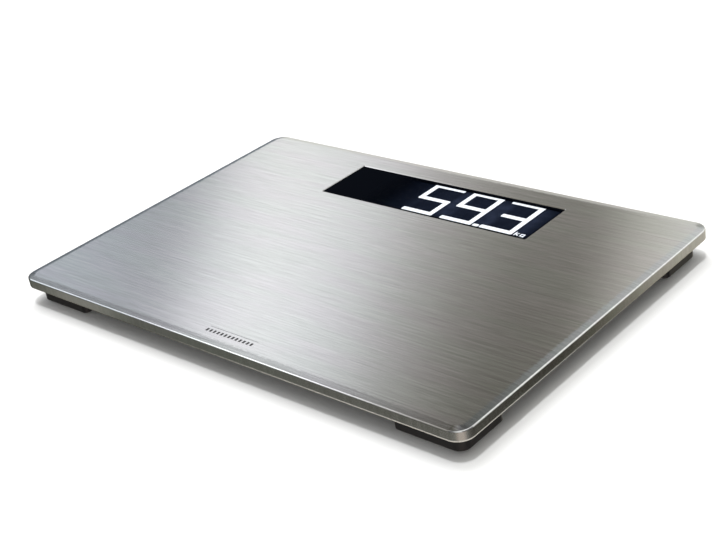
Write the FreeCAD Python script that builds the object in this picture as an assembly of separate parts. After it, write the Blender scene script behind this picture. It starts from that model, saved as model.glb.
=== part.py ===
import FreeCAD, Part
import os
from math import sin, tan

# Digital bathroom scale, millimetres.
# Frame: origin on the floor under the centre of the platform, +X along the long
# edge to the reader's right, +Y towards the display edge, +Z up.

V = FreeCAD.Vector

# platform pan, pressed from stainless sheet
WIDTH, DEPTH, HEIGHT = 360.0, 242.0, 19.0
SHEET = 0.8
PAN_CORNER_R = 9.5
PAN_BOTTOM = 12.0
BORDER = 4.7
BORDER_DROP = 0.7
BEND_R = 1.0
HEM_R = 0.35

# display
WINDOW = (-78.8, 58.2, 90.4, 102.6)
WINDOW_R = 1.0
LENS_GAP = 0.25
LENS_TOP = HEIGHT - 0.45
LENS_FLANGE = 2.8
CELL_X, CELL_Y = 21.0, 81.2
CELL_W, CELL_D = 140.0, 43.5
DIGIT_H, DIGIT_W, STROKE, STROKE_R = 39.2, 25.0, 3.7, 0.9
DIGIT_PITCH = 31.6
DIGIT_X, DIGIT_Y = -11.4, 62.2

# structure under the pan
PLATE_Z, PLATE_T = 16.2, 1.2
TRAY_W, TRAY_D, TRAY_R = 357.2, 239.2, 8.1
TRAY_Z, TRAY_T = 12.3, 1.7
WALL = 1.6
RIB_T = 1.4

# electronics well and battery box, as (x0, y0, x1, y1) outside the walls
WELL = (-56.0, 40.0, 96.0, 108.0)
WELL_Z = 5.0
BOX = (-27.0, -14.0, 27.0, 30.0)
BOX_Z, BOX_TOP = 2.0, 16.1
PCB = (-53.4, 43.0, 93.4, 105.4)
PCB_Z, PCB_T = 9.9, 1.6

# cells (AAA) and door
CELL_R, CELL_L, CELL_PITCH = 5.25, 43.7, 11.5
BATTERY_Y, BATTERY_Z = 8.0, 9.7
DOOR_T, DOOR_GAP = 1.4, 0.4
HINGE_Y, HINGE_Z, HINGE_R = -10.6, 3.1, 1.1
HINGE_PIN_R, HINGE_BORE_R = 0.70, 0.76

# unit button
BUTTON_X, BUTTON_Y, BUTTON_R = 64.0, 49.5, 5.0

# feet
FOOT_X, FOOT_Y = 150.5, 97.0
FOOT_W, FOOT_D, FOOT_R = 46.0, 35.0, 6.5
FOOT_EDGE_R = 3.5
FOOT_BOTTOM = 0.9
FOOT_WALL = 2.0
CELL_PLATE_Z, CELL_PLATE_T = 7.6, 2.0
SHOE_Z, SHOE_T, SHOE_GAP = 1.5, 2.6, 0.5
PIN_R = 4.0
CORNERS = {"fl": (-1, -1), "fr": (1, -1), "bl": (-1, 1), "br": (1, 1)}

# leads
LEAD_R, LEAD_Z, LEAD_PITCH, LEAD_BEND = 0.5, 15.1, 1.4, 2.2
LEAD_X = FOOT_X - 18.2


def block(x0, y0, z0, x1, y1, z1):
    return Part.makeBox(x1 - x0, y1 - y0, z1 - z0, V(x0, y0, z0))


def rod(x, y, z0, z1, r):
    return Part.makeCylinder(r, z1 - z0, V(x, y, z0))


def rod_x(x0, x1, y, z, r):
    return Part.makeCylinder(r, x1 - x0, V(x0, y, z), V(1, 0, 0))


def rounded_wire(cx, cy, w, d, r, z):
    """Closed outline of a rectangle with round corners."""
    x0, x1, y0, y1 = cx - w / 2, cx + w / 2, cy - d / 2, cy + d / 2
    q = r * (1 - 0.5 ** 0.5)
    line = lambda a, b: Part.makeLine(V(*a, z), V(*b, z))
    arc = lambda a, m, b: Part.Arc(V(*a, z), V(*m, z), V(*b, z)).toShape()
    return Part.Wire([
        line((x0 + r, y0), (x1 - r, y0)),
        arc((x1 - r, y0), (x1 - q, y0 + q), (x1, y0 + r)),
        line((x1, y0 + r), (x1, y1 - r)),
        arc((x1, y1 - r), (x1 - q, y1 - q), (x1 - r, y1)),
        line((x1 - r, y1), (x0 + r, y1)),
        arc((x0 + r, y1), (x0 + q, y1 - q), (x0, y1 - r)),
        line((x0, y1 - r), (x0, y0 + r)),
        arc((x0, y0 + r), (x0 + q, y0 + q), (x0 + r, y0)),
    ])


def slab(cx, cy, w, d, r, z0, z1):
    """Plate with round corners, centred on (cx, cy)."""
    face = Part.Face(rounded_wire(cx, cy, w, d, r, z0))
    return face.extrude(V(0, 0, z1 - z0))


def slab_in(box, r, z0, z1, grow=0.0):
    """Plate with round corners filling box = (x0, y0, x1, y1), grown all round."""
    x0, y0, x1, y1 = box
    return slab((x0 + x1) / 2, (y0 + y1) / 2, x1 - x0 + 2 * grow, y1 - y0 + 2 * grow, r, z0, z1)


def fuse(shapes):
    first, rest = shapes[0], shapes[1:]
    return first.multiFuse(rest).removeSplitter() if rest else first


def edges_at(shape, z):
    """Edges that lie wholly in the plane at height z."""
    flat = lambda e: all(abs(v.Z - z) < 1e-4 for v in e.Vertexes)
    return [e for e in shape.Edges if e.Vertexes and flat(e) and abs(e.CenterOfMass.z - z) < 1e-4]


def lead(points, r, bend):
    """Wire along straight runs joined by tangent arcs."""
    pts = [V(*p) for p in points]
    edges, start = [], pts[0]
    for before, corner, after in zip(pts, pts[1:], pts[2:]):
        a, b = (before - corner).normalize(), (after - corner).normalize()
        turn = a.getAngle(b)
        run = bend / tan(turn / 2)
        p, q = corner + a * run, corner + b * run
        middle_dir = (a + b).normalize()
        centre = corner + middle_dir * (bend / sin(turn / 2))
        edges += [Part.makeLine(start, p), Part.Arc(p, centre - middle_dir * bend, q).toShape()]
        start = q
    edges.append(Part.makeLine(start, pts[-1]))
    profile = Part.Wire(Part.makeCircle(r, pts[0], pts[1] - pts[0]))
    return Part.Wire(edges).makePipeShell([profile], True, True)


nodes = {}


# ---- platform ----

def pan_solid(w, d, r, z_low, z_edge, z_top, bend):
    """Block with a shallow sloped border and a round bend into the skirt."""
    skirt = slab(0, 0, w, d, r, z_low, z_edge)
    outer = rounded_wire(0, 0, w, d, r, z_edge)
    inner = rounded_wire(0, 0, w - 2 * BORDER, d - 2 * BORDER, r - BORDER, z_top)
    body = fuse([skirt, Part.makeLoft([outer, inner], True, True)])
    return body.makeFillet(bend, edges_at(body, z_edge))


edge_z = HEIGHT - BORDER_DROP
pan = pan_solid(WIDTH, DEPTH, PAN_CORNER_R, PAN_BOTTOM, edge_z, HEIGHT, BEND_R)
hollow = pan_solid(WIDTH - 2 * SHEET, DEPTH - 2 * SHEET, PAN_CORNER_R - SHEET,
                   PAN_BOTTOM - 1, edge_z - SHEET, HEIGHT - SHEET, BEND_R - 0.6)
hollow_top = HEIGHT - SHEET
pan = pan.makeFillet(HEM_R, edges_at(pan, PAN_BOTTOM))
pan = pan.cut(hollow).cut(slab_in(WINDOW, WINDOW_R, PAN_BOTTOM, HEIGHT + 1))
nodes["top_cover"] = pan

# ---- display stack ----

flange_z0, flange_z1 = 17.6, 18.0
lens = slab_in(WINDOW, WINDOW_R + 1, flange_z0, flange_z1, LENS_FLANGE)
raised = slab_in(WINDOW, WINDOW_R - LENS_GAP, flange_z1, LENS_TOP, -LENS_GAP)
raised = raised.makeChamfer(0.12, edges_at(raised, LENS_TOP))
nodes["display_lens"] = fuse([lens, raised])
tape = slab_in(WINDOW, WINDOW_R + 1, flange_z1, hollow_top, LENS_FLANGE)
nodes["lens_tape"] = tape.cut(slab_in(WINDOW, WINDOW_R, flange_z1, hollow_top, 0.3))

DIGIT_Z, FIGURE_T, FILM = 17.5, 0.08, 0.2


def stroke(x0, y0, x1, y1):
    """Bar along X or Y with small round corners; the points are its centre line's ends."""
    w, d = abs(x1 - x0) + STROKE, abs(y1 - y0) + STROKE
    return slab((x0 + x1) / 2, (y0 + y1) / 2, w, d, STROKE_R, DIGIT_Z, DIGIT_Z + FIGURE_T)


def digit(x, segments, mid_inset=0.0):
    """Seven-segment figure whose strokes run into each other; x is its left edge."""
    left, right = x + STROKE / 2, x + DIGIT_W - STROKE / 2
    low, high = DIGIT_Y + STROKE / 2, DIGIT_Y + DIGIT_H - STROKE / 2
    mid = (low + high) / 2
    bars = {"a": (left, high, right, high), "b": (right, mid, right, high),
            "c": (right, low, right, mid), "d": (left, low, right, low),
            "e": (left, low, left, mid), "f": (left, mid, left, high),
            "g": (left + mid_inset, mid, right, mid)}
    return fuse([stroke(*bars[s]) for s in segments])


def thin_bar(a, b, w=0.75):
    """Thin straight bar from a to b for the small letters."""
    a, b = V(*a, DIGIT_Z), V(*b, DIGIT_Z)
    along = (b - a).normalize() * (w / 2)
    side = V(-along.y, along.x, 0)
    a, b = a - along, b + along
    corners = [a - side, b - side, b + side, a + side, a - side]
    return Part.Face(Part.makePolygon(corners)).extrude(V(0, 0, FIGURE_T))


def unit_letters(x, y):
    """The letters k and g, drawn with short strokes."""
    k = [((x, y), (x, y + 3.6)), ((x + 0.4, y + 1.2), (x + 2.2, y + 2.7)),
         ((x + 0.9, y + 1.5), (x + 2.4, y + 0.1))]
    g0, g1 = x + 4.3, x + 6.6
    g = [((g0, y + 2.5), (g1, y + 2.5)), ((g0, y + 0.3), (g1, y + 0.3)), ((g0, y + 0.3), (g0, y + 2.5)),
         ((g1, y - 1.2), (g1, y + 2.5)), ((g0, y - 1.2), (g1, y - 1.2))]
    return [fuse([thin_bar(*bar) for bar in letter]) for letter in (k, g)]


figures = [digit(DIGIT_X, "afgcd"), digit(DIGIT_X + DIGIT_PITCH, "abfgcd"),
           digit(DIGIT_X + 2 * DIGIT_PITCH, "abgcd", 4.0)]
point_x = DIGIT_X + 2 * DIGIT_PITCH - 3.1
point = slab(point_x, DIGIT_Y + 1.4, 4.4, 2.8, 0.8, DIGIT_Z, DIGIT_Z + FIGURE_T)
letters = unit_letters(DIGIT_X + 2 * DIGIT_PITCH + DIGIT_W + 1.8, DIGIT_Y + 0.6)
nodes["lcd_figures"] = Part.makeCompound(figures + [point] + letters)


def cell_layer(w, d, z0, z1, dy=0.0):
    return block(CELL_X - w / 2, CELL_Y - d / 2 + dy, z0, CELL_X + w / 2, CELL_Y + d / 2 + dy, z1)


LEDGE = 5.0
rear_d = CELL_D - LEDGE
nodes["polariser_front"] = cell_layer(CELL_W - 2, CELL_D - 3, DIGIT_Z - FILM, DIGIT_Z)
nodes["glass_front"] = cell_layer(CELL_W, CELL_D, 16.5, 17.3)
nodes["glass_rear"] = cell_layer(CELL_W, rear_d, 15.7, 16.5, -LEDGE / 2)
nodes["polariser_rear"] = cell_layer(CELL_W - 5, rear_d - 2.2, 15.5, 15.7, -LEDGE / 2)
guide_x = CELL_X - CELL_W / 2 + 4.0
guide = block(guide_x, CELL_Y - CELL_D / 2 + 1, 13.1, CELL_X + CELL_W / 2 - 1,
              CELL_Y + CELL_D / 2 - LEDGE - 1, 15.5)
nodes["light_guide"] = guide
nodes["reflector"] = block(guide_x, CELL_Y - CELL_D / 2 + 1, 12.9, CELL_X + CELL_W / 2 - 1,
                           CELL_Y + CELL_D / 2 - LEDGE - 1, 13.1)

pcb_top = PCB_Z + PCB_T
led_x, led_rows = CELL_X - CELL_W / 2 + 1.6, (CELL_Y - 12.0, CELL_Y - 2.5, CELL_Y + 7.0)
strip_y = CELL_Y + CELL_D / 2 - 2.6
frame = slab(CELL_X, CELL_Y, CELL_W + 4, CELL_D + 4, 1.5, pcb_top, 17.3)
frame = frame.cut(cell_layer(CELL_W + 0.2, CELL_D + 0.2, 16.5, 18))
frame = frame.cut(cell_layer(CELL_W + 0.2, rear_d + 0.2, 15.7, 18, -LEDGE / 2))
frame = frame.cut(block(guide_x - 3.6, CELL_Y - CELL_D / 2 + 0.9, 12.9, CELL_X + CELL_W / 2 - 0.9,
                        CELL_Y + CELL_D / 2 - LEDGE - 0.9, 18))
frame = frame.cut(block(CELL_X - 62, strip_y - 1.3, pcb_top - 1, CELL_X + 62, strip_y + 1.3, 17))
for y in led_rows:
    frame = frame.cut(block(led_x - 1.2, y - 2.2, pcb_top - 1, led_x + 1.4, y + 2.2, 14))
nodes["lcd_frame"] = frame
nodes["elastomer_strip"] = block(CELL_X - 61, strip_y - 1.2, pcb_top, CELL_X + 61, strip_y + 1.2, 16.5)
nodes["backlight_leds"] = Part.makeCompound(
    [block(led_x - 1.0, y - 1.9, pcb_top, led_x + 1.0, y + 1.9, 15.0) for y in led_rows])

# ---- circuit board ----

px0, py0, px1, py1 = PCB
pcb_holes = [(CELL_X - 58, py0 + 6.5), (CELL_X - 12, py0 + 6.5), (CELL_X + 62, py0 + 6.5)]
board = slab_in(PCB, 1.0, PCB_Z, pcb_top)
for x, y in pcb_holes:
    board = board.cut(rod(x, y, PCB_Z, pcb_top, 1.4))
nodes["main_board"] = board
blob = Part.makeSphere(9.0, V(CELL_X - 2, py0 + 7.0, pcb_top - 7.4))
nodes["controller_blob"] = blob.common(block(0, 30, pcb_top, 60, 70, 14))
nodes["capacitors"] = Part.makeCompound(
    [rod(CELL_X + x, py0 + y, pcb_top, pcb_top + 3.2, 2.0) for x, y in ((-30, 5), (-30, 10.2))])
nodes["crystal"] = slab(CELL_X + 26, py0 + 7, 8.0, 3.4, 1.6, pcb_top, pcb_top + 2.6)
chips = [(-40, 9), (-22, 9), (14, 9.6), (14, 5.2), (36, 11.0), (52, 10)]
nodes["chip_resistors"] = Part.makeCompound(
    [block(CELL_X + x - 1, py0 + y - 0.6, pcb_top, CELL_X + x + 1, py0 + y + 0.6, pcb_top + 0.6)
     for x, y in chips])
switch = fuse([block(BUTTON_X - 3, BUTTON_Y - 3, 8.4, BUTTON_X + 3, BUTTON_Y + 3, PCB_Z),
               rod(BUTTON_X, BUTTON_Y, 8.0, 8.4, 1.7)])
nodes["tact_switch"] = switch


def pan_screw(x, y, z_seat, z_end, r, head_r, head_h, up=True):
    """Screw whose head sits on z_seat and whose shank runs to z_end."""
    lo, hi = (z_seat - head_h, z_seat) if up else (z_seat, z_seat + head_h)
    head = rod(x, y, lo, hi, head_r)
    outer = lo if up else hi
    head = head.makeFillet(head_h * 0.45, edges_at(head, outer))
    s0, s1 = min(z_seat, z_end), max(z_seat, z_end)
    screw = fuse([head, rod(x, y, s0, s1, r)])
    slot_lo, slot_hi = (lo - 0.1, lo + 0.7) if up else (hi - 0.7, hi + 0.1)
    for w, d in ((head_r * 1.2, 0.6), (0.6, head_r * 1.2)):
        screw = screw.cut(block(x - w / 2, y - d / 2, slot_lo, x + w / 2, y + d / 2, slot_hi))
    return screw


nodes["board_screws"] = Part.makeCompound(
    [pan_screw(x, y, pcb_top, WELL_Z + 2.2, 1.1, 2.3, 1.3, up=False) for x, y in pcb_holes])

# ---- base tray ----

plate_top = PLATE_Z + PLATE_T
tray_top = TRAY_Z + TRAY_T
tray_screws = [(x, y) for x in (-160, -60, 60, 160) for y in (-60, 0)] + [(-160, 56), (160, 56),
                                                                      (-72, 104), (108, 104)]


def shell_in(box, r, z_low, z_floor, z_top):
    """Outer and inner solids of a well with WALL-thick sides and a floor."""
    outer = slab_in(box, r, z_low, z_top)
    inner = slab_in(box, max(r - WALL, 0.4), z_floor, z_top + 1, -WALL)
    return outer, inner


well_out, well_in = shell_in(WELL, 4.0, WELL_Z, WELL_Z + 1.4, tray_top)
box_out = slab_in(BOX, 2.0, BOX_Z, BOX_TOP)
box_in = slab_in(BOX, 0.4, BOX_Z - 1, BOX_TOP - 1.0, -WALL)

ribs = [block(-172, y - RIB_T / 2, TRAY_Z, 172, y + RIB_T / 2, PLATE_Z) for y in (-75, -38, 34)]
ribs += [block(x - RIB_T / 2, -114, TRAY_Z, x + RIB_T / 2, 114, PLATE_Z) for x in (-110, 110)]
ribs += [block(x - RIB_T / 2, -114, TRAY_Z, x + RIB_T / 2, 40, PLATE_Z) for x in (-45, 45)]
lead_ways = [block(s * LEAD_X - 4, -108, tray_top, s * LEAD_X + 4, 108, PLATE_Z + 1) for s in (-1, 1)]
lead_ways += [block(-137, 41, tray_top, -50, 58, PLATE_Z + 1),
              block(90, 41, tray_top, 137, 58, PLATE_Z + 1)]
lead_ways += [block(BOX[2] + 0.1, -6, tray_top, BOX[2] + 5, 58, PLATE_Z + 1),
              block(BOX[0] - 5, 14, tray_top, BOX[0] - 0.1, 58, PLATE_Z + 1)]
rib_set = fuse(ribs).cut(fuse(lead_ways))

edge_wall = slab(0, 0, TRAY_W, TRAY_D, TRAY_R, TRAY_Z, 15.6).cut(
    slab(0, 0, TRAY_W - 2 * WALL, TRAY_D - 2 * WALL, TRAY_R - WALL, TRAY_Z, 17))
floor_slab = slab(0, 0, TRAY_W, TRAY_D, TRAY_R, TRAY_Z, tray_top)
bosses = [rod(x, y, TRAY_Z, PLATE_Z, 4.6) for x, y in tray_screws]
board_posts = [rod(x, y, WELL_Z, PCB_Z, 3.0) for x, y in pcb_holes]
board_posts += [rod(CELL_X + x, py1 - 5, WELL_Z, PCB_Z, 2.2) for x in (-62, 0, 62)]
foot_bosses, foot_holes, exit_holes = [], [], []
for sx, sy in CORNERS.values():
    fx, fy = sx * FOOT_X, sy * FOOT_Y
    for k in (-1, 1):
        x, y = fx + sx * k * 18.9, fy - k * sy * 9.0
        foot_bosses.append(rod(x, y, TRAY_Z, PLATE_Z - 0.2, 2.9))
        foot_holes.append((x, y))
    exit_holes.append((sx * LEAD_X, fy))

tray = fuse([floor_slab, edge_wall, rib_set, well_out, box_out] + bosses + foot_bosses)
tray = tray.cut(fuse([well_in.cut(fuse(board_posts)), box_in]))
for x, y in tray_screws:
    tray = tray.cut(rod(x, y, TRAY_Z - 1, PLATE_Z + 1, 1.85)).cut(rod(x, y, TRAY_Z - 1, TRAY_Z + 1.8, 3.6))
for x, y in foot_holes:
    tray = tray.cut(rod(x, y, TRAY_Z - 1, PLATE_Z - 1.2, 1.35))
for x, y in exit_holes:
    tray = tray.cut(slab(x, y, 4.8, 4.8, 1.2, TRAY_Z - 1, tray_top + 1))
for x, y in pcb_holes:
    tray = tray.cut(rod(x, y, WELL_Z + 1.6, PCB_Z + 1, 1.15))
tray = tray.cut(rod(BUTTON_X, BUTTON_Y, WELL_Z - 1, WELL_Z + 3, BUTTON_R + 0.3))
tray = tray.cut(rod_x(BOX[0] - 1, BOX[2] + 1, HINGE_Y, HINGE_Z, HINGE_BORE_R))
door_tip = BOX[3] - WALL - DOOR_GAP
tray = tray.cut(rod(0, BOX[3], BOX_Z - 1, BOX_Z + 1.6, 8.0).common(block(-9, 20, 0, 9, BOX[3] + 1, 9)))
contact_tabs = [(1, BATTERY_Y - CELL_PITCH), (-1, BATTERY_Y + CELL_PITCH)]
for side, y in contact_tabs:
    x0, x1 = sorted((side * (BOX[2] - WALL - 0.2), side * (BOX[2] + 1)))
    tray = tray.cut(block(x0, y - 2.1, 14.2, x1, y + 2.1, 14.9))
nodes["base_tray"] = tray

# ---- stiffener plate, foam and tray screws ----

plate = slab(0, 0, 346, 228, 4, PLATE_Z, plate_top)
plate = plate.cut(slab_in((WINDOW[0] - 5, WINDOW[1] - 5.2, WINDOW[2] + 5, WINDOW[3] + 5.2), 3,
                          PLATE_Z, plate_top))
for x, y in tray_screws:
    plate = plate.cut(rod(x, y, PLATE_Z, plate_top, 1.55))
nodes["stiffener_plate"] = plate
foam_rows = [(-165, -104, 165, -82), (-165, -62, 165, -40), (-165, -18, 165, 4), (-165, 22, 165, 44),
             (-165, 60, -92, 98), (104, 60, 165, 98)]
nodes["foam_tape"] = Part.makeCompound([slab_in(b, 1.0, plate_top, hollow_top) for b in foam_rows])
nodes["tray_screws"] = Part.makeCompound(
    [pan_screw(x, y, TRAY_Z + 1.8, plate_top, 1.5, 3.2, 1.6) for x, y in tray_screws])

# ---- unit button ----

button = fuse([rod(BUTTON_X, BUTTON_Y, WELL_Z - 0.6, WELL_Z + 2.0, BUTTON_R),
               rod(BUTTON_X, BUTTON_Y, WELL_Z + 1.4, WELL_Z + 2.3, BUTTON_R + 1.6)])
nodes["unit_button"] = button.makeFillet(0.4, edges_at(button, WELL_Z - 0.6))

# ---- battery box ----

bx0, bx1 = BOX[0] + WALL, BOX[2] - WALL
door = block(bx0 + DOOR_GAP, HINGE_Y, BOX_Z, bx1 - DOOR_GAP, door_tip, BOX_Z + DOOR_T)
barrel = rod_x(bx0 + DOOR_GAP, bx1 - DOOR_GAP, HINGE_Y, HINGE_Z, HINGE_R)
pins = rod_x(BOX[0] + 0.2, BOX[2] - 0.2, HINGE_Y, HINGE_Z, HINGE_PIN_R)
latch = block(-6, door_tip - 1.3, BOX_Z, 6, door_tip - 0.2, BOX_Z + 4.6)
grips = [block(-7, 16 + 2.2 * i, BOX_Z - 1, 7, 17 + 2.2 * i, BOX_Z + 0.35) for i in range(4)]
nodes["battery_door"] = fuse([door, barrel, pins, latch]).cut(fuse(grips))

rows = [(BATTERY_Y + k * CELL_PITCH, 1 if k else -1) for k in (-1, 0, 1)]
cans, caps, springs = [], [], []
CONTACT_T, CAP_L, SPRING_R, SPRING_WIRE = 0.4, 0.8, 3.0, 0.35
contact_x = bx1 - CONTACT_T
for y, sign in rows:
    x1 = contact_x - CAP_L
    x0 = x1 - CELL_L
    if sign < 0:
        x0, x1 = -x1, -x0
    can = rod_x(x0, x1, y, BATTERY_Z, CELL_R)
    cans.append(can.makeFillet(0.5, [e for e in can.Edges if len(e.Vertexes) == 1]))
    tip = x1 if sign > 0 else x0 - CAP_L
    caps.append(rod_x(tip, tip + CAP_L, y, BATTERY_Z, 1.9))
    room = contact_x - CELL_L + contact_x - CAP_L
    coil = Part.makeLongHelix((room - 2 * SPRING_WIRE) / 3, room - 2 * SPRING_WIRE, SPRING_R)
    ring = Part.Wire(Part.makeCircle(SPRING_WIRE, V(SPRING_R, 0, 0), V(0, 1, 0)))
    spring = Part.Wire(coil.Edges).makePipeShell([ring], True, True)
    spring.rotate(V(0, 0, 0), V(0, 1, 0), 90)
    spring_x = -contact_x if sign > 0 else contact_x - room
    spring.translate(V(spring_x + SPRING_WIRE, y, BATTERY_Z))
    springs.append(spring)
nodes["battery_cells"] = Part.makeCompound(cans)
nodes["battery_caps"] = Part.makeCompound(caps)
nodes["contact_springs"] = Part.makeCompound(springs)


def contact(side, k0, k1, tab=None):
    """Contact plate on an end wall, spanning cell rows k0 to k1, with an optional solder tab."""
    y0, y1 = BATTERY_Y + k0 * CELL_PITCH - 4.0, BATTERY_Y + k1 * CELL_PITCH + 4.0
    x0, x1 = sorted((side * contact_x, side * bx1))
    strip = block(x0, y0, BATTERY_Z - 4.2, x1, y1, 14.7)
    if tab is not None:
        t0, t1 = sorted((side * contact_x, side * (BOX[2] + 1.5)))
        strip = fuse([strip, block(t0, tab - 1.8, 14.3, t1, tab + 1.8, 14.7)])
    return strip


nodes["contact_plates"] = Part.makeCompound([
    contact(1, -1, -1, contact_tabs[0][1]), contact(1, 0, 1),
    contact(-1, -1, 0), contact(-1, 1, 1, contact_tabs[1][1])])


def battery_lead(side, y):
    x, z = side * (BOX[2] + 1.2), 14.7 + LEAD_R
    return lead([(x, y - 1.5, z), (x, py0 + 3, z), (x, py0 + 3, pcb_top)], LEAD_R, LEAD_BEND)


nodes["battery_lead_red"] = battery_lead(*contact_tabs[0])
nodes["battery_lead_black"] = battery_lead(*contact_tabs[1])

# ---- feet ----

ROOF_Z = 10.9
foot_screws = []
gauges, foot_leads = [], {"red": [], "white": [], "black": []}
for name, (sx, sy) in CORNERS.items():
    fx, fy = sx * FOOT_X, sy * FOOT_Y
    in_w, in_d = FOOT_W - 2 * FOOT_WALL, FOOT_D - 2 * FOOT_WALL

    def at(x0, y0, z0, x1, y1, z1):
        """Block in foot coordinates: +x outwards, +y outwards."""
        xs, ys = sorted((fx + sx * x0, fx + sx * x1)), sorted((fy + sy * y0, fy + sy * y1))
        return block(xs[0], ys[0], z0, xs[1], ys[1], z1)

    shell = slab(fx, fy, FOOT_W, FOOT_D, FOOT_EDGE_R, FOOT_BOTTOM, TRAY_Z)
    shell = shell.common(slab(fx - sx * 10, fy - sy * 10, FOOT_W + 20, FOOT_D + 20, FOOT_R, 0, 20))
    shell = shell.makeFillet(0.4, edges_at(shell, FOOT_BOTTOM))
    shell = shell.cut(slab(fx, fy, in_w, in_d, FOOT_R - FOOT_WALL, FOOT_BOTTOM - 1, ROOF_Z))
    plate_end = CELL_PLATE_Z + CELL_PLATE_T
    rests = [at(-14, y - 1, plate_end, 14, y + 1, ROOF_Z) for y in (-12.6, 12.6)]
    rests += [at(x0, y0, 6.4, x1, y1, CELL_PLATE_Z) for x0, x1 in ((-21.2, -16), (16, 21.2))
              for y0, y1 in ((-15.6, -12.2), (12.2, 15.6))]
    shell = fuse([shell] + [r.common(slab(fx, fy, FOOT_W - 1, FOOT_D - 1, FOOT_R, 0, 20)) for r in rests])
    shell = shell.cut(slab(sx * LEAD_X, fy, 4.8, 4.8, 1.2, ROOF_Z - 1, TRAY_Z + 1))
    for y in (-1, 1):
        shell = shell.cut(at(-3.6, y * 15.4, 4.5, 3.6, y * 16.6, 6.6))
    for x, y in foot_holes:
        shell = shell.cut(rod(x, y, ROOF_Z - 1, TRAY_Z + 1, 1.4))
    nodes["foot_housing_" + name] = shell

    # load cell: a steel plate with a U-shaped slot that frees its middle tongue
    sensor = slab(fx, fy, 34, 28, 2.0, CELL_PLATE_Z, plate_end)
    slot = fuse([at(-10, -7.0, 7, 11.5, -5.0, 10), at(-10, 5.0, 7, 11.5, 7.0, 10),
                 at(9.5, -7.0, 7, 11.5, 7.0, 10)])
    waist = [rod(fx - sx * 8, fy + k * 5.0, 7, 10, 1.6) for k in (-1, 1)]
    sensor = sensor.cut(fuse([slot] + waist))
    nodes["load_cell_" + name] = sensor
    gauges.append(at(-10.5, -2.6, plate_end, -5.5, 2.6, plate_end + 0.25))

    shoe = slab(fx, fy, in_w - 2 * SHOE_GAP, in_d - 2 * SHOE_GAP, FOOT_R - FOOT_WALL - SHOE_GAP,
                SHOE_Z, SHOE_Z + SHOE_T)
    shoe_top = SHOE_Z + SHOE_T
    lugs = [rod(fx, fy, shoe_top, CELL_PLATE_Z, PIN_R)]
    for y in (-1, 1):
        lugs += [at(-3, y * 13.4, shoe_top, 3, y * 15.0, 5.8), at(-3, y * 14.9, 5.0, 3, y * 16.1, 5.8)]
    nodes["foot_shoe_" + name] = fuse([shoe] + lugs)
    pad = slab(fx, fy, in_w - 3, in_d - 3, FOOT_R - FOOT_WALL - 1, 0, SHOE_Z)
    pad = pad.makeFillet(0.35, edges_at(pad, 0))
    for x in (-9, 0, 9):
        pad = pad.cut(at(x - 0.6, -20, -1, x + 0.6, 20, 0.4))
    nodes["foot_pad_" + name] = pad

    for k, colour in zip((-1, 0, 1), foot_leads):
        x, y = sx * (LEAD_X + k * LEAD_PITCH), fy + k * LEAD_PITCH
        pad_y = (py0 + 9.6 if sy > 0 else py0 + 3.4) - sy * k * LEAD_PITCH
        pad_x = px0 + 4.5 if sx < 0 else px1 - 4.5
        z = plate_end + 0.25 + LEAD_R
        foot_leads[colour].append(lead(
            [(fx - sx * 8, y, z), (x, y, z), (x, y, LEAD_Z), (x, pad_y, LEAD_Z),
             (pad_x, pad_y, LEAD_Z), (pad_x, pad_y, pcb_top)], LEAD_R, 1.2))

for x, y in foot_holes:
    foot_screws.append(pan_screw(x, y, ROOF_Z, PLATE_Z - 1.4, 1.3, 2.0, 1.2))
nodes["foot_screws"] = Part.makeCompound(foot_screws)
nodes["strain_gauges"] = Part.makeCompound(gauges)
for colour, runs in foot_leads.items():
    nodes["cell_leads_" + colour] = Part.makeCompound(runs)

# ---- export ----

os.makedirs("parts", exist_ok=True)
print("lead radius %.2f mm, bend radius %.2f mm" % (LEAD_R, LEAD_BEND))
for node, shape in nodes.items():
    bad = [s for s in shape.Solids if not s.isValid() or s.Volume <= 0]
    print("%-22s solids %2d  volume %9.1f mm3%s" % (node, len(shape.Solids), shape.Volume,
                                                   "  INVALID" if bad else ""))
    shape.exportStep("parts/%s.step" % node)
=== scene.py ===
import math

import bmesh
import bpy
from mathutils import Matrix, Vector


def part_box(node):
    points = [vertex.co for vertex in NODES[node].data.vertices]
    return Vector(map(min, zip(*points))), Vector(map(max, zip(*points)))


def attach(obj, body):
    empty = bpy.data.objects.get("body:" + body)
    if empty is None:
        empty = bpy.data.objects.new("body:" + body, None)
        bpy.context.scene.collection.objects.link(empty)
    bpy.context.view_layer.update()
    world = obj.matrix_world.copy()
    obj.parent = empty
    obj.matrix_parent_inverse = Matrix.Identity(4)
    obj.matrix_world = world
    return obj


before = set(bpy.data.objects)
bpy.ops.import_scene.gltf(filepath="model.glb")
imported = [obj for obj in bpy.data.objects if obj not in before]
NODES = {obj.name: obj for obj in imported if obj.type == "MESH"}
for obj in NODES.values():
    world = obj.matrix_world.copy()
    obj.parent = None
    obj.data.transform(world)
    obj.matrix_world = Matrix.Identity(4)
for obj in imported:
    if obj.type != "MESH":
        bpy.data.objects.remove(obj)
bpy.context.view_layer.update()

MM = 0.001
scene = bpy.context.scene
scene.view_settings.view_transform = "Standard"
top_lo, top_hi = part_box("top_cover")
TOP_Z = top_hi[2]

# sizes that the finishes follow, as the CAD has them
BORDER_W, BORDER_DROP, CORNER_R, BEND_R, HEM_SPAN = 4.7 * MM, 0.7 * MM, 9.5 * MM, 1.0 * MM, 1.0 * MM
DIGIT_PITCH = 31.6 * MM

CAMERA_AT = (0.547, -0.5249, 0.4006)
AZIMUTH, ELEVATION, ROLL = 135.789, 27.618, -9.725
LENS, SENSOR = 68.27, 36.0

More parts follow.
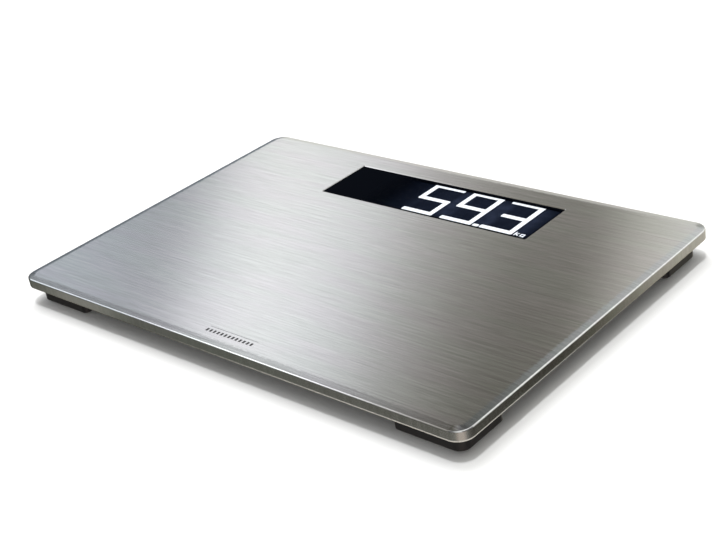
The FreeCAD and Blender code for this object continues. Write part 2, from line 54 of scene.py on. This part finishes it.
MARK_X, MARK_Y, MARK_H = (-14.2 * MM, 25.1 * MM), -111.4 * MM, 5.05 * MM
RULE_H, TICKS, TICK_GAP, TICK_W, TICK_H = 0.25 * MM, 13, 0.3 * MM, 1.6 * MM, 2.6 * MM
INK = 0.02 * MM


# ---- camera ----

def make_camera():
    azimuth, elevation, roll = (math.radians(a) for a in (AZIMUTH, ELEVATION, ROLL))
    flat = math.cos(elevation)
    look = Vector((flat * math.cos(azimuth), flat * math.sin(azimuth), -math.sin(elevation)))
    level = look.cross(Vector((0, 0, 1))).normalized()
    right = level * math.cos(roll) + level.cross(look) * math.sin(roll)
    data = bpy.data.cameras.new("camera")
    data.lens, data.sensor_width = LENS, SENSOR
    data.clip_start, data.clip_end = 0.01, 50.0
    cam = bpy.data.objects.new("camera", data)
    scene.collection.objects.link(cam)
    basis = Matrix((right, right.cross(look), -look)).transposed().to_4x4()
    cam.matrix_world = Matrix.Translation(CAMERA_AT) @ basis
    scene.camera = cam


make_camera()


# ---- node helpers ----

class Graph:
    """Small builder for a material's or world's node tree."""

    def __init__(self, tree):
        self.tree = tree

    def add(self, kind, inputs=None, **props):
        n = self.tree.nodes.new(kind)
        for key, value in props.items():
            setattr(n, key, value)
        for key, value in (inputs or {}).items():
            self.put(n.inputs[key], value)
        return n

    def put(self, socket, value):
        if hasattr(value, "is_output") or hasattr(value, "links"):
            self.tree.links.new(value, socket)
        else:
            socket.default_value = value

    def math(self, op, a, b=0.0, c=0.0, clamp=False):
        n = self.add("ShaderNodeMath", operation=op, use_clamp=clamp)
        for socket, value in zip(n.inputs, (a, b, c)):
            self.put(socket, value)
        return n.outputs[0]

    def times(self, *values):
        total = values[0]
        for value in values[1:]:
            total = self.math("MULTIPLY", total, value)
        return total

    def plus(self, *values):
        total = values[0]
        for value in values[1:]:
            total = self.math("ADD", total, value)
        return total

    def span(self, x, lo, hi, out_lo=0.0, out_hi=1.0):
        """Smooth step of x from lo to hi."""
        n = self.add("ShaderNodeMapRange", {"Value": x, "From Min": lo, "From Max": hi,
                                            "To Min": out_lo, "To Max": out_hi},
                     interpolation_type="SMOOTHSTEP")
        return n.outputs[0]

    def mix(self, factor, a, b):
        n = self.add("ShaderNodeMix", data_type="RGBA")
        self.put(n.inputs[0], factor)
        self.put(n.inputs[6], a)
        self.put(n.inputs[7], b)
        return n.outputs[2]

    def noise(self, scale, detail=2.0, stretch=(1, 1, 1), rough=0.5):
        where = self.add("ShaderNodeTexCoord").outputs["Object"]
        size = self.add("ShaderNodeMapping", {"Vector": where, "Scale": stretch}).outputs[0]
        return self.add("ShaderNodeTexNoise", {"Vector": size, "Scale": scale, "Detail": detail,
                                               "Roughness": rough}).outputs["Fac"]

    def place(self):
        where = self.add("ShaderNodeTexCoord").outputs["Object"]
        return self.add("ShaderNodeSeparateXYZ", {"Vector": where}).outputs

    def vec(self, op, a, b=None, scale=None):
        n = self.add("ShaderNodeVectorMath", {0: a}, operation=op)
        if b is not None:
            self.put(n.inputs[1], b)
        if scale is not None:
            self.put(n.inputs["Scale"], scale)
        return n.outputs["Value" if op in ("LENGTH", "DOT_PRODUCT") else "Vector"]

    def bump(self, height, strength, distance):
        return self.add("ShaderNodeBump", {"Height": height, "Strength": strength,
                                           "Distance": distance}).outputs[0]

    def ramp(self, factor, stops):
        n = self.add("ShaderNodeValToRGB", {"Fac": factor})
        points = n.color_ramp.elements
        points[0].position, points[1].position = stops[0][0], stops[-1][0]
        points[0].color, points[1].color = (*stops[0][1], 1), (*stops[-1][1], 1)
        for at, value in stops[1:-1]:
            points.new(at).color = (*value, 1)
        return n.outputs[0]


def material(name):
    """New material, with its graph and its main shader."""
    mat = bpy.data.materials.new(name)
    mat.use_nodes = True
    tree = mat.node_tree
    shader = tree.nodes["Principled BSDF"]
    return mat, Graph(tree), shader


def dress(mat, *names):
    for name in names:
        slots = NODES[name].data.materials
        slots.clear()
        slots.append(mat)


def moulded(name, colour, roughness=0.45, grain=2600, depth=0.25, tint=0.12):
    """Moulded plastic: fine eroded texture, slight tone and gloss variation."""
    mat, g, s = material(name)
    fine = g.noise(grain, 3)
    broad = g.noise(38, 4)
    dark = tuple(c * (1 - tint) for c in colour[:3]) + (1,)
    light = tuple(min(1, c * (1 + tint)) for c in colour[:3]) + (1,)
    g.put(s.inputs["Base Color"], g.mix(broad, dark, light))
    g.put(s.inputs["Roughness"], g.span(broad, 0.2, 0.8, roughness - 0.06, roughness + 0.06))
    g.put(s.inputs["Normal"], g.bump(fine, depth, 0.00008))
    return mat


def plated(name, colour, roughness=0.25, scale=900, stretch=(1, 1, 1), metallic=1.0):
    """Bare or plated metal with fine marks."""
    mat, g, s = material(name)
    marks = g.noise(scale, 4, stretch)
    g.put(s.inputs["Metallic"], metallic)
    worn = tuple(c * 0.85 for c in colour[:3]) + (1,)
    g.put(s.inputs["Base Color"], g.mix(g.noise(60, 3), worn, colour))
    g.put(s.inputs["Roughness"], g.span(marks, 0.25, 0.75, roughness * 0.7, roughness * 1.4))
    g.put(s.inputs["Normal"], g.bump(marks, 0.15, 0.00005))
    return mat


# ---- brushed stainless pan ----

EDGE_Z = TOP_Z - BORDER_DROP                    # where the border would meet the skirt without a bend
SLOPE = math.atan(BORDER_DROP / BORDER_W)
BORDER_UP = math.cos(SLOPE)
BEND_Z = EDGE_Z - BEND_R * math.tan(math.pi / 4 - SLOPE / 2)
INNER_REACH = CORNER_R - BORDER_W


def pan_outward(g, x, y):
    """Vector from the nearest point of the pan's inset outline, where its corners are centred."""
    parts = []
    for axis, half in ((x, top_hi[0]), (y, top_hi[1])):
        past = g.math("SUBTRACT", g.math("ABSOLUTE", axis), half - CORNER_R, clamp=True)
        parts.append(g.times(past, g.math("SIGN", axis)))
    return g.add("ShaderNodeCombineXYZ", {"X": parts[0], "Y": parts[1]}).outputs[0]


def pan_facing(g, z, outward):
    """Exact normal of flat, border, bend, skirt and hem, and the mask of the window's cut edge."""
    reach = g.vec("LENGTH", outward)
    rise = g.math("DIVIDE", g.math("SUBTRACT", z, BEND_Z), BEND_R)
    rise = g.math("MINIMUM", g.math("MAXIMUM", rise, 0.0), BORDER_UP)
    dip = g.math("DIVIDE", g.math("SUBTRACT", z, top_lo[2] + HEM_SPAN), HEM_SPAN)
    rise = g.plus(rise, g.math("MAXIMUM", g.math("MINIMUM", dip, 0.0), -1.0))
    lean = g.math("SQRT", g.math("SUBTRACT", 1.0, g.times(rise, rise)))
    lift = g.add("ShaderNodeCombineXYZ", {"Z": rise}).outputs[0]
    ideal = g.vec("ADD", g.vec("SCALE", g.vec("NORMALIZE", outward), scale=lean), lift)
    # the brushing feathers the border's inner edge
    feather = 6 * MM
    grain = g.math("MULTIPLY_ADD", g.noise(1.0, 2, (260, 3600, 0), 0.6), feather, INNER_REACH - feather / 2)
    above = g.math("GREATER_THAN", z, EDGE_Z + 0.03 * MM)
    inner = g.times(above, g.math("LESS_THAN", reach, grain))
    ideal = g.mix(inner, ideal, (0, 0, 1, 1))
    # the inside of the sheet keeps the mesh's own normal
    meshed = g.add("ShaderNodeNewGeometry").outputs["Normal"]
    outside = g.math("GREATER_THAN", g.vec("DOT_PRODUCT", meshed, ideal), 0.6)
    facing = g.mix(outside, meshed, ideal)
    # the sheared edge of the window is burnished and catches the light from above
    upright = g.math("LESS_THAN", g.math("ABSOLUTE", g.vec("DOT_PRODUCT", meshed, (0, 0, 1))), 0.5)
    cut = g.times(upright, g.math("LESS_THAN", reach, INNER_REACH))
    return g.mix(cut, facing, g.vec("NORMALIZE", g.vec("ADD", meshed, (0, 0, 1)))), cut


def pan_brushing(g, z):
    """Height of the brushed lines along X, and the streaks that they leave."""
    fine = g.noise(1.0, 2, (70, 3600, 0), 0.6)
    lines = g.noise(1.0, 3, (26, 1900, 0), 0.6)
    long = g.noise(1.0, 2, (9, 800, 0), 0.5)
    wall = g.noise(1.0, 2, (420, 420, 30), 0.5)
    height = g.plus(g.times(fine, 0.3), g.times(lines, 0.45), g.times(long, 0.25))
    skirt = g.span(z, EDGE_Z - 0.4 * MM, EDGE_Z - 1.3 * MM)
    on_top = g.times(g.span(height, 0.36, 0.64), g.math("SUBTRACT", 1.0, skirt))
    on_skirt = g.times(g.span(wall, 0.3, 0.7, 0.3, 0.7), skirt)
    return height, g.plus(on_top, on_skirt)


def pan_steel():
    mat, g, s = material("pan_steel")
    x, y, z = g.place()
    facing, cut = pan_facing(g, z, pan_outward(g, x, y))
    height, streak = pan_brushing(g, z)

    tone = g.mix(streak, (0.53, 0.535, 0.54, 1), (0.71, 0.715, 0.725, 1))
    hue = g.span(g.noise(1.0, 2, (10, 60, 0)), 0.35, 0.65)
    tone = g.vec("MULTIPLY", tone, g.mix(hue, (0.985, 1.01, 0.99, 1), (1.01, 0.99, 1.01, 1)))
    broad = g.noise(1.0, 3, (2.2, 16, 6))
    tone = g.mix(g.times(broad, 0.25), tone, (0.52, 0.52, 0.52, 1))
    # painted highlight: the lowest 0.6 mm of the skirt (the hem) is coloured pale cream so it shows as a
    # bright line, on top of the real reflection its down-tilted normal picks up
    hem = g.span(z, top_lo[2] + 0.6 * MM, top_lo[2] + 0.4 * MM)
    tone = g.mix(hem, tone, (0.96, 0.94, 0.88, 1))
    tone = g.mix(cut, tone, (0.48, 0.48, 0.48, 1))
    g.put(s.inputs["Base Color"], tone)

    s.inputs["Metallic"].default_value = 1.0
    s.inputs["Anisotropic"].default_value = 1.0
    g.put(s.inputs["Roughness"], g.span(streak, 0.0, 1.0, 0.16, 0.19))
    side = g.span(g.math("ABSOLUTE", x), top_hi[0] - 0.9 * MM, top_hi[0] - 0.4 * MM)
    groove = g.mix(side, (1, 0, 0, 1), (0, 1, 0, 1))
    g.put(s.inputs["Tangent"], g.vec("CROSS_PRODUCT", facing, groove))
    rub = g.add("ShaderNodeBump", {"Height": height, "Strength": 0.06, "Distance": 0.00004, "Normal": facing})
    g.put(s.inputs["Normal"], rub.outputs[0])
    return mat


dress(pan_steel(), "top_cover")


# ---- display ----

def lens_acrylic():
    """Black window over the cell, clear only where the cell shows through."""
    mat, g, s = material("lens_black")
    x, y, z = g.place()
    lo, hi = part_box("polariser_front")
    left, right = g.span(x, lo[0] + 1 * MM, lo[0] + 30 * MM), g.span(x, hi[0] - 0.5 * MM, hi[0] - 1 * MM)
    near, far = g.span(y, lo[1] - 1 * MM, lo[1]), g.span(y, hi[1] - 1.2 * MM, hi[1] - 1.6 * MM)
    clearness = g.times(left, right, near, far)
    s.inputs["Base Color"].default_value = (0.0012, 0.0018, 0.0035, 1)
    s.inputs["Specular IOR Level"].default_value = 0.001
    g.put(s.inputs["Alpha"], g.math("MULTIPLY_ADD", clearness, -0.8, 1.0))
    g.put(s.inputs["Roughness"], g.span(g.noise(420, 4), 0.2, 0.8, 0.04, 0.09))
    g.put(s.inputs["Normal"], g.bump(g.noise(30, 2), 0.03, 0.0004))
    return mat


def lit_figures():
    mat, g, s = material("lit_white")
    speck = g.noise(900, 2)
    g.put(s.inputs["Base Color"], g.mix(speck, (0.85, 0.9, 1.0, 1), (1, 1, 1, 1)))
    g.put(s.inputs["Emission Color"], g.mix(speck, (0.80, 0.88, 1.0, 1), (0.92, 0.96, 1.0, 1)))
    s.inputs["Emission Strength"].default_value = 1.15
    s.inputs["Roughness"].default_value = 0.5
    return mat


def cell_face():
    """Front of the liquid-crystal cell: near black, with backlight leaking round the figures."""
    mat, g, s = material("polariser")
    x, y, z = g.place()
    lo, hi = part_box("lcd_figures")
    left, right = g.span(x, lo[0] - 8 * MM, lo[0] + 16 * MM), g.span(x, hi[0] + 6 * MM, hi[0] - 8 * MM)
    near, far = g.span(y, lo[1] - 3 * MM, lo[1] + 9 * MM), g.span(y, hi[1] + 3 * MM, hi[1] - 9 * MM)
    # light spills out to the right of each figure's long upright stroke
    turn = g.math("FRACT", g.math("DIVIDE", g.math("SUBTRACT", x, lo[0] + 2 * MM), DIGIT_PITCH))
    spill = g.plus(g.span(turn, 0.70, 0.80), g.span(turn, 0.16, 0.02))
    spill = g.math("MULTIPLY_ADD", spill, 0.65, 0.35)
    cloud = g.span(g.noise(160, 3), 0.25, 0.75, 0.55, 1.0)
    glow = g.times(left, right, near, far, spill, cloud)
    s.inputs["Base Color"].default_value = (0.004, 0.006, 0.012, 1)
    s.inputs["Specular IOR Level"].default_value = 0.001
    g.put(s.inputs["Roughness"], g.span(g.noise(700, 2), 0.2, 0.8, 0.3, 0.4))
    s.inputs["Emission Strength"].default_value = 1.0
    g.put(s.inputs["Emission Color"], g.mix(glow, (0.0012, 0.0020, 0.0045, 1), (0.034, 0.044, 0.078, 1)))
    return mat


dress(lens_acrylic(), "display_lens")
dress(lit_figures(), "lcd_figures")
dress(cell_face(), "polariser_front", "polariser_rear")


# ---- printed mark ----

def boxes(name, spans, z0, z1):
    """One mesh of flat boxes, each span (x0, y0, x1, y1) in metres."""
    bm = bmesh.new()
    for x0, y0, x1, y1 in spans:
        middle = Matrix.Translation(((x0 + x1) / 2, (y0 + y1) / 2, (z0 + z1) / 2))
        size = Matrix.Diagonal((x1 - x0, y1 - y0, z1 - z0, 1))
        bmesh.ops.create_cube(bm, size=1, matrix=middle @ size)
    mesh = bpy.data.meshes.new(name)
    bm.to_mesh(mesh)
    bm.free()
    obj = bpy.data.objects.new(name, mesh)
    scene.collection.objects.link(obj)
    return obj


def print_mark():
    """Plain printed mark near the front edge: a thin rule over a row of equal ticks."""
    x0, x1 = MARK_X
    spans = [(x0, MARK_Y + MARK_H - RULE_H, x1, MARK_Y + MARK_H)]
    for i in range(TICKS):
        tick = x0 + i * (x1 - x0) / TICKS + TICK_GAP
        spans.append((tick, MARK_Y, tick + TICK_W, MARK_Y + TICK_H))
    mark = boxes("front_mark", spans, TOP_Z - INK / 2, TOP_Z + INK)
    mark.data.materials.append(moulded("mark_ink", (0.030, 0.030, 0.032, 1), 0.45, 1800, 0.1))
    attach(mark, "body")


# ---- everything else ----

tray_abs = moulded("tray_black", (0.028, 0.028, 0.031, 1), 0.5, 2200, 0.35)
dress(tray_abs, "base_tray", "battery_door")
foot_abs = moulded("foot_black", (0.0085, 0.0072, 0.0110, 1), 0.42, 2600, 0.3)
rubber = moulded("pad_rubber", (0.008, 0.008, 0.008, 1), 0.75, 1500, 0.6)
steel = plated("cell_steel", (0.55, 0.55, 0.56, 1), 0.3, 1.0, (40, 900, 40))
for corner in ("fl", "fr", "bl", "br"):
    dress(foot_abs, "foot_housing_" + corner, "foot_shoe_" + corner)
    dress(rubber, "foot_pad_" + corner)
    dress(steel, "load_cell_" + corner)
dress(moulded("button_grey", (0.20, 0.21, 0.22, 1), 0.4), "unit_button")
dress(moulded("white_abs", (0.78, 0.78, 0.75, 1), 0.4, tint=0.03), "lcd_frame", "reflector")
dress(moulded("foam_white", (0.75, 0.74, 0.70, 1), 0.85, 900, 0.8, 0.06), "foam_tape")
dress(moulded("tape_black", (0.02, 0.02, 0.02, 1), 0.7), "lens_tape")
dress(moulded("switch_black", (0.03, 0.03, 0.03, 1), 0.4), "tact_switch", "chip_resistors")
dress(moulded("epoxy_black", (0.012, 0.012, 0.012, 1), 0.15, 300, 0.2), "controller_blob")
dress(moulded("zebra", (0.35, 0.33, 0.30, 1), 0.7), "elastomer_strip")
dress(moulded("solder_mask", (0.01, 0.12, 0.05, 1), 0.3, 500, 0.4, 0.25), "main_board")
dress(moulded("led_white", (0.9, 0.85, 0.6, 1), 0.3, tint=0.03), "backlight_leds")
dress(moulded("gauge_coat", (0.78, 0.70, 0.52, 1), 0.3, 300, 0.3), "strain_gauges")
dress(moulded("pvc_red", (0.50, 0.02, 0.015, 1), 0.35), "battery_lead_red", "cell_leads_red")
dress(moulded("pvc_black", (0.02, 0.02, 0.02, 1), 0.35), "battery_lead_black", "cell_leads_black")
dress(moulded("pvc_white", (0.75, 0.75, 0.72, 1), 0.35, tint=0.03), "cell_leads_white")
dress(plated("screw_zinc", (0.60, 0.61, 0.62, 1), 0.28), "tray_screws", "board_screws", "foot_screws")
dress(plated("plate_galvanised", (0.50, 0.52, 0.54, 1), 0.42, 45), "stiffener_plate")
dress(plated("nickel", (0.70, 0.68, 0.62, 1), 0.2), "battery_caps", "contact_springs", "contact_plates")
dress(plated("capacitor_can", (0.60, 0.61, 0.63, 1), 0.25), "capacitors", "crystal")
dress(plated("cell_jacket", (0.12, 0.14, 0.17, 1), 0.3, metallic=0.6), "battery_cells")


def clear(name, colour, alpha, roughness):
    """Clear sheet of the display stack."""
    mat, g, s = material(name)
    s.inputs["Base Color"].default_value = colour
    s.inputs["Alpha"].default_value = alpha
    g.put(s.inputs["Roughness"], g.span(g.noise(300, 3), 0.2, 0.8, roughness * 0.6, roughness * 1.4))
    return mat


dress(clear("cell_glass", (0.75, 0.82, 0.84, 1), 0.35, 0.08), "glass_front", "glass_rear")
dress(clear("acrylic", (0.85, 0.9, 0.95, 1), 0.5, 0.12), "light_guide")


# ---- floor and light ----

def make_floor():
    mesh = bpy.data.meshes.new("floor")
    r = 6.0                                     # half the side, in metres
    mesh.from_pydata([(-r, -r, 0), (r, -r, 0), (r, r, 0), (-r, r, 0)], [], [(0, 1, 2, 3)])
    floor = bpy.data.objects.new("floor", mesh)
    scene.collection.objects.link(floor)
    floor.location.z = -0.05 * MM
    mat, g, s = material("floor_white")
    g.put(s.inputs["Base Color"], g.mix(g.noise(3, 3), (0.86, 0.86, 0.86, 1), (0.88, 0.88, 0.88, 1)))
    s.inputs["Roughness"].default_value = 0.9
    s.inputs["Specular IOR Level"].default_value = 0.1
    mesh.materials.append(mat)
    floor.visible_glossy = False


def sun(name, aim, spread, strength):
    """Lamp with parallel rays and a disc of the given width in degrees, left out of reflections."""
    data = bpy.data.lights.new(name, "SUN")
    data.angle, data.energy = math.radians(spread), strength
    light = bpy.data.objects.new(name, data)
    scene.collection.objects.link(light)
    light.rotation_euler = Vector(aim).to_track_quat("-Z", "Y").to_euler()
    light.visible_glossy = False


# Brightness of the sky in bands across X, as a brushed surface sees them: each band is
# (x of the direction, brightness, red share, blue share).
BANDS = [
    (-1.00, 0.85, 0.96, 1.04), (-0.86, 0.75, 0.96, 1.04), (-0.80, 1.00, 0.95, 1.07),
    (-0.765, 0.78, 0.96, 1.07), (-0.745, 0.62, 0.97, 1.06), (-0.73, 0.68, 0.97, 1.06),
    (-0.71, 1.15, 0.98, 1.03), (-0.69, 1.32, 0.99, 1.01), (-0.665, 1.20, 0.99, 1.02),
    (-0.64, 0.95, 0.99, 1.02), (-0.61, 0.52, 1.01, 0.98), (-0.58, 0.27, 1.04, 0.91),
    (-0.55, 0.14, 1.06, 0.84), (-0.515, 0.13, 1.07, 0.82), (-0.50, 0.25, 1.05, 0.86),
    (-0.48, 0.58, 1.04, 0.90), (-0.455, 0.90, 1.03, 0.92), (-0.44, 0.95, 1.0, 1.0),
    (-0.42, 0.60, 1.0, 1.0), (-0.395, 0.20, 0.98, 0.96), (-0.37, 0.12, 0.96, 0.92),
    (-0.35, 0.24, 0.96, 0.95), (-0.33, 0.55, 0.96, 0.97), (-0.31, 0.65, 0.97, 0.98),
    (-0.295, 0.95, 0.98, 0.98), (-0.25, 1.05, 1.0, 0.98), (-0.10, 1.30, 1.0, 0.97),
    (0.20, 1.50, 1.0, 0.97), (0.50, 1.40, 1.0, 0.96), (0.70, 0.50, 1.0, 0.98),
    (1.0, 0.50, 1.0, 1.0),
]


def upper_sky(g, x, y, z):
    """Sky above the horizon: the bands, with haze low down and brighter and darker parts."""
    sky = g.ramp(g.math("MULTIPLY_ADD", x, 0.5, 0.5),
                 [(0.5 + 0.5 * at, (v * red, v, v * blue)) for at, v, red, blue in BANDS])
    haze = g.mix(g.span(x, -0.76, -0.70), (0.19, 0.22, 0.25, 1), (0.86, 0.84, 0.78, 1))
    sky = g.mix(g.span(z, 0.50, 0.20), sky, haze)

    # the front border sees the dim part, the front bend the strip, and the corner's bend the crown
    dim = g.span(y, 0.35, 0.43, 0.32, 1.08)
    strip = g.times(g.span(y, 0.14, 0.04), g.span(z, 0.35, 0.55), g.span(x, -0.40, -0.48))
    crown = g.times(g.span(x, -0.30, -0.05), g.span(y, 0.45, 0.25))
    gain = g.plus(dim, g.times(strip, 2.0), g.times(crown, 0.7))
    # dark beside the corner's border, and low in front under the bend
    corner = g.times(g.span(y, 0.64, 0.52), g.span(x, -0.52, -0.46), g.span(z, 0.92, 0.80))
    low = g.times(g.span(y, 0.05, -0.05), g.span(z, 0.25, 0.10))
    level = g.times(gain, g.math("SUBTRACT", 1.0, g.math("MAXIMUM", corner, low)))
    level = g.math("MAXIMUM", level, 0.26)
    sky = g.vec("SCALE", sky, scale=level)

    # bright again on the side that only a view from behind reflects
    opposite = g.times(g.span(y, -0.42, -0.60), g.span(x, 0.10, 0.40))
    return g.mix(opposite, sky, (0.92, 0.92, 0.90, 1))


def lower_sky(g, x, y, z):
    """What the skirts and the hem reflect: dim surroundings in front and at the right, the floor below."""
    stripe = g.span(g.math("ABSOLUTE", g.plus(x, 0.766)), 0.022, 0.006)
    front = g.mix(stripe, (0.135, 0.137, 0.115, 1), (0.32, 0.31, 0.27, 1))
    front = g.mix(g.span(x, -0.70, -0.55), front, (0.11, 0.112, 0.09, 1))
    right = g.ramp(g.span(y, 0.62, 0.78), [(0.0, (0.032, 0.029, 0.019)), (0.35, (0.046, 0.041, 0.028)),
                                          (0.60, (0.15, 0.14, 0.105)), (0.80, (0.36, 0.34, 0.27)),
                                          (1.0, (0.66, 0.62, 0.52))])
    deep = g.mix(g.span(y, -0.10, 0.20), front, right)
    at_corner = g.times(g.span(x, 0.0, 0.6), g.span(y, 0.0, -0.5))
    deep = g.mix(at_corner, deep, (0.52, 0.44, 0.36, 1))
    return g.mix(g.span(z, -0.66, -0.76), deep, (1.0, 0.96, 0.88, 1))


def make_world():
    world = bpy.data.worlds.new("studio")
    scene.world = world
    world.use_nodes = True
    g = Graph(world.node_tree)
    background = world.node_tree.nodes["Background"]
    way = g.add("ShaderNodeTexCoord").outputs["Generated"]
    x, y, z = g.add("ShaderNodeSeparateXYZ", {"Vector": way}).outputs
    colour = g.mix(g.span(z, -0.06, 0.06), lower_sky(g, x, y, z), upper_sky(g, x, y, z))
    g.put(background.inputs["Color"], colour)
    background.inputs["Strength"].default_value = 1.0


print_mark()
make_floor()
make_world()
sun("overhead", (0, 0, -1), 5, 1.15)
sun("from_behind", (0.45, -0.35, -1), 30, 1.5)
